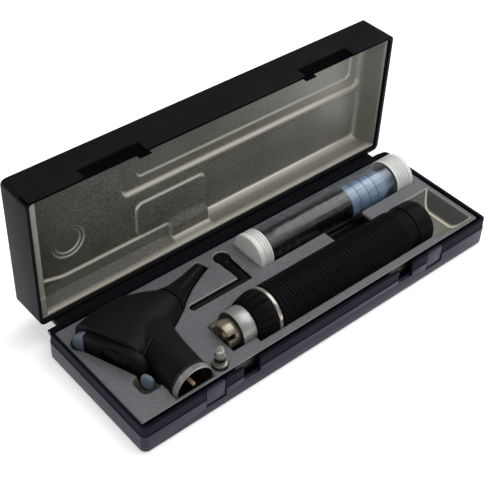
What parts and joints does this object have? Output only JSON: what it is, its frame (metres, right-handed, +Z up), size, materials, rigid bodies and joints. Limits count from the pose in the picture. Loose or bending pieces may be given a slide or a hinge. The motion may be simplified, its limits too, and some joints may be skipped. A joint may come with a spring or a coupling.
{
  "type": "otoscope set in case",
  "caption": "Otoscope set in a hinged carrying case: otoscope head with swing magnifier, ribbed battery handle with dial, tube of ear specula, spare lamp and angled key in a formed tray.",
  "frame": {"origin": "middle of the case underside", "axes": "+X along the case towards the end cap of the handle, +Y from the latches to the hinges, +Z up"},
  "size_m": [0.27, 0.1224, 0.106],
  "materials": {
    "case_plastic": "satin black",
    "tray_sheet": "matt grey formed sheet",
    "liner_sheet": "satin grey-brown formed sheet",
    "head_black": "matt black",
    "tab_grey": "smooth blue-grey",
    "chrome": "polished",
    "satin_metal": "satin",
    "brass": "turned",
    "steel": "drawn",
    "grip_black": "matt black",
    "insulator": "matt",
    "battery": "plain sleeve",
    "clear": "clear",
    "cap_white": "off-white",
    "specula_black": "satin black",
    "specula_blue": "satin blue",
    "glass": "polished"
  },
  "bodies": {
    "case_base": {"base_shell": "case_plastic", "tray_head_side": "tray_sheet", "tray_finger_side": "tray_sheet", "tray_well_side": "tray_sheet", "hinge_pin_left": "steel", "hinge_pin_right": "steel"},
    "lid": {"lid_shell": "case_plastic", "lid_liner": "liner_sheet"},
    "latch_left": {"latch_left": "case_plastic"},
    "latch_right": {"latch_right": "case_plastic"},
    "head": {"head_housing": "head_black", "socket_ring": "satin_metal", "lamp_contact_disc": "insulator", "lamp_contact_pin": "brass", "head_lamp_base": "satin_metal", "head_lamp_glass": "glass", "pivot_pin": "steel"},
    "magnifier": {"lens_frame": "head_black", "magnifier_lens": "glass", "magnifier_tab": "tab_grey", "pivot_shoe": "tab_grey"},
    "speculum": {"speculum": "head_black"},
    "handle": {"handle_spigot": "chrome", "handle_collar": "satin_metal", "trim_ring": "chrome", "grip_sleeve": "grip_black", "handle_insulator": "insulator", "handle_contact": "brass", "battery_1": "battery", "battery_2": "battery", "battery_spring": "steel"},
    "dial": {"brightness_dial": "grip_black"},
    "end_cap": {"end_cap": "grip_black"},
    "specula_tube": {"specula_tube": "clear", "ear_speculum_black_1": "specula_black", "ear_speculum_black_2": "specula_black", "ear_speculum_black_3": "specula_black", "ear_speculum_black_4": "specula_black", "ear_speculum_black_5": "specula_black", "ear_speculum_black_6": "specula_black", "ear_speculum_black_7": "specula_black", "ear_speculum_black_8": "specula_black", "ear_speculum_black_9": "specula_black", "ear_speculum_blue_1": "specula_blue", "ear_speculum_blue_2": "specula_blue", "ear_speculum_blue_3": "specula_blue", "ear_speculum_blue_4": "specula_blue"},
    "tube_cap_left": {"tube_cap_left": "cap_white"},
    "tube_cap_right": {"tube_cap_right": "cap_white"},
    "spare_lamp": {"spare_lamp_flange": "satin_metal", "spare_lamp_sleeve": "chrome", "spare_lamp_glass": "glass"},
    "lamp_key": {"lamp_key": "head_black"}
  },
  "joints": [
    {"name": "lid_hinge", "type": "hinge", "parent": "case_base", "child": "lid", "pos_m": [0, 0.0467, 0.0148], "axis": [-1, 0, 0], "range_deg": [-90, 0]},
    {"name": "latch_left_press", "type": "hinge", "parent": "case_base", "child": "latch_left", "pos_m": [-0.0865, -0.0435, 0.0074], "axis": [-1, 0, 0], "range_deg": [0, 6], "stiffness_Nm_per_rad": 0.2},
    {"name": "latch_right_press", "type": "hinge", "parent": "case_base", "child": "latch_right", "pos_m": [0.0865, -0.0435, 0.0074], "axis": [-1, 0, 0], "range_deg": [0, 6], "stiffness_Nm_per_rad": 0.2},
    {"name": "head_lift", "type": "slide", "parent": "case_base", "child": "head", "axis": [0, 0, 1], "range_m": [0, 0.11]},
    {"name": "magnifier_swing", "type": "hinge", "parent": "head", "child": "magnifier", "pos_m": [-0.12495, 0.02024, 0.0185], "axis": [-0.9367, -0.3502, 0], "range_deg": [0, 70]},
    {"name": "speculum_twist", "type": "hinge", "parent": "head", "child": "speculum", "pos_m": [-0.06837, 0.02111, 0.0185], "axis": [0.9367, 0.3502, 0], "range_deg": [0, 30]},
    {"name": "handle_lift", "type": "slide", "parent": "case_base", "child": "handle", "axis": [0, 0, 1], "range_m": [0, 0.11]},
    {"name": "dial_turn", "type": "hinge", "parent": "handle", "child": "dial", "pos_m": [-0.038, -0.0182, 0.0185], "axis": [1, 0, 0], "range_deg": [0, 120]},
    {"name": "end_cap_turn", "type": "hinge", "parent": "handle", "child": "end_cap", "pos_m": [0.0855, -0.0182, 0.0185], "axis": [1, 0, 0], "continuous": true},
    {"name": "tube_lift", "type": "slide", "parent": "case_base", "child": "specula_tube", "axis": [0, 0, 1], "range_m": [0, 0.11]},
    {"name": "tube_cap_left_turn", "type": "hinge", "parent": "specula_tube", "child": "tube_cap_left", "pos_m": [-0.0059, 0.0242, 0.0175], "axis": [1, 0, 0], "continuous": true},
    {"name": "tube_cap_right_turn", "type": "hinge", "parent": "specula_tube", "child": "tube_cap_right", "pos_m": [0.1261, 0.0242, 0.0175], "axis": [1, 0, 0], "continuous": true},
    {"name": "lamp_lift", "type": "slide", "parent": "case_base", "child": "spare_lamp", "axis": [0, 0, 1], "range_m": [0, 0.11]},
    {"name": "key_lift", "type": "slide", "parent": "case_base", "child": "lamp_key", "axis": [0, 0, 1], "range_m": [0, 0.11]}
  ]
}
